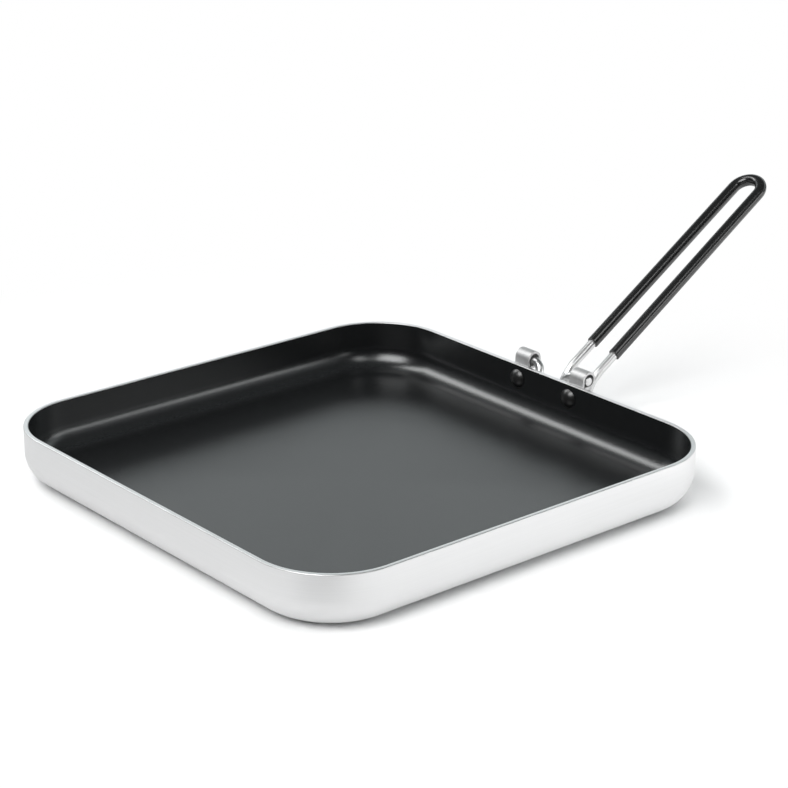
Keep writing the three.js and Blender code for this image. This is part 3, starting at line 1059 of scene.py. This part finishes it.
def painted_mirror_floor(tree, where):
    """The painted reflection of the floor in the mirror images: a glow with set levels from left to right.
    """
    along = measured(tree, "DOT_PRODUCT", where, TO_THE_RIGHT)
    level = ramp(tree, along, *MIRROR_SPAN, *MIRROR_LEVELS)
    # Painted dark spot: the glow is dimmed round a place in front of the near corner.
    dark_spot_share = ramp(tree, measured(tree, "DISTANCE", where, PAINTED_DARK_SPOT), *SPOT_SPAN, SPOT_SHARE, 1.0)
    far_share = ramp(tree, measured(tree, "LENGTH", where), *FAR_SPAN, 1.0, FAR_SHARE)
    toned_level = calc(tree, "MULTIPLY", level, calc(tree, "MULTIPLY", dark_spot_share, far_share))
    strength = ramp(tree, along, *WHITE_SPAN, toned_level, 1.0)
    # Painted reflection: this glow is seen only by mirrored rays, at levels set for the metal walls.
    glow = result(tree, "ShaderNodeEmission", {"Strength": strength})
    matte = result(tree, "ShaderNodeBsdfDiffuse", {"Color": grey(MIRROR_MATTE)})
    return result(tree, "ShaderNodeAddShader", {0: matte, 1: glow})


def floor_finish():
    finish = bpy.data.materials.new("studio floor")
    tree = blank_tree(finish)
    where = place(tree, "ShaderNodeTexCoord").outputs["Object"]
    glossy = is_ray(tree, "Is Glossy Ray", "Is Transmission Ray")
    bounces = place(tree, "ShaderNodeLightPath").outputs["Diffuse Depth"]
    unscattered = calc(tree, "LESS_THAN", bounces, HALF_A_BOUNCE)
    mirrored = calc(tree, "MULTIPLY", glossy, unscattered)
    floors = {0: mirrored, 1: seen_floor(tree, where), 2: painted_mirror_floor(tree, where)}
    place(tree, "ShaderNodeOutputMaterial", {"Surface": result(tree, "ShaderNodeMixShader", floors)})
    return finish


half_floor = FLOOR_SIZE / 2
corner_signs = ((-1, -1), (1, -1), (1, 1), (-1, 1))
floor_corners = [(x * half_floor, y * half_floor, -FLOOR_DROP) for x, y in corner_signs]
floor_mesh = bpy.data.meshes.new("floor")
floor_mesh.from_pydata(floor_corners, [], [(0, 1, 2, 3)])
floor_mesh.materials.append(floor_finish())
floor = link(bpy.data.objects.new("floor", floor_mesh))
print("floor:", FLOOR_SIZE, "m across")

# %% [markdown]
# ## Room and lamps
#
# Four soft lamps make the lines and patches of light on the coating: a wide one above the camera, a tall
# one on the left, a low one on the right behind the pan, and a small high one further to the right. A
# fifth one overhead only fills the shadows, so it is kept out of the mirror images. The room could be one
# even grey, but the cooking floor mirrors it, and there the light has to fall off towards the walls. So it
# is pale at the back, in a band a little above the horizon, and dark overhead and towards the camera.

# %% Room and lamps
ROOM_TINT = (0.94, 1.0, 1.01, 1.0)
ROOM_AXIS = (-0.57, 0.82, 0)
ROOM_SPAN = (-0.5, 1.0)
ROOM_FRONT = 0.03
ROOM_BACK = 1.46
ROOM_RISE = (0.08, 0.38)
HORIZON_SHARE = 0.1
ROOM_FADE = (0.38, 0.55)
ROOM_HIGH = 0.11
FILL_LAMP = "ceiling"
LAMPS = {  # place, width and height, power in watts
    "front_box": (Vector((0.27, -0.84, 1.09)), (1.0, 0.8), 15),
    "left_strip": (Vector((-0.82, -0.21, 0.89)), (0.32, 0.9), 5.0),
    "right_low": (Vector((0.85, 0.68, 0.23)), (0.8, 0.2), 1.5),
    "right_small": (Vector((1.72, 0.06, 1.85)), (0.5, 0.9), 5.0),
    "ceiling": (Vector((0.45, 0.5, 1.5)), (1.2, 1.2), 10),
}


def room():
    """Pale at the back and dark elsewhere, and plain white for the camera."""
    world = bpy.data.worlds.new("pale room")
    tree = blank_tree(world)
    direction = place(tree, "ShaderNodeTexCoord").outputs["Generated"]
    height = place(tree, "ShaderNodeSeparateXYZ", {"Vector": direction}).outputs["Z"]
    back = measured(tree, "DOT_PRODUCT", direction, ROOM_AXIS)
    around = ramp(tree, back, *ROOM_SPAN, ROOM_FRONT, ROOM_BACK)
    risen = ramp(tree, height, *ROOM_RISE, HORIZON_SHARE, 1.0)
    level = ramp(tree, height, *ROOM_FADE, calc(tree, "MULTIPLY", around, risen), ROOM_HIGH)
    shaded = result(tree, "ShaderNodeBackground", {"Color": ROOM_TINT, "Strength": level})
    white = result(tree, "ShaderNodeBackground", {"Color": grey(1.0), "Strength": 1.0})
    sides = {0: is_ray(tree, "Is Camera Ray"), 1: shaded, 2: white}
    place(tree, "ShaderNodeOutputWorld", {"Surface": result(tree, "ShaderNodeMixShader", sides)})
    return world


def soft_lamp(name, spot, size, power):
    """An upright lamp that faces the middle of the pan. The fill lamp has no mirror image."""
    lamp = link(bpy.data.objects.new(name, bpy.data.lights.new(name, "AREA")))
    lamp.data.shape = "RECTANGLE"
    lamp.data.size, lamp.data.size_y = size
    lamp.data.energy = power
    lamp.matrix_world = Matrix.Translation(spot) @ spot.to_track_quat("Z", "Y").to_matrix().to_4x4()
    lamp.visible_camera = False
    lamp.visible_glossy = name != FILL_LAMP


bpy.context.scene.world = room()
for name, (spot, size, power) in LAMPS.items():
    soft_lamp(name, spot, size, power)
print("lamps:", ", ".join(LAMPS))
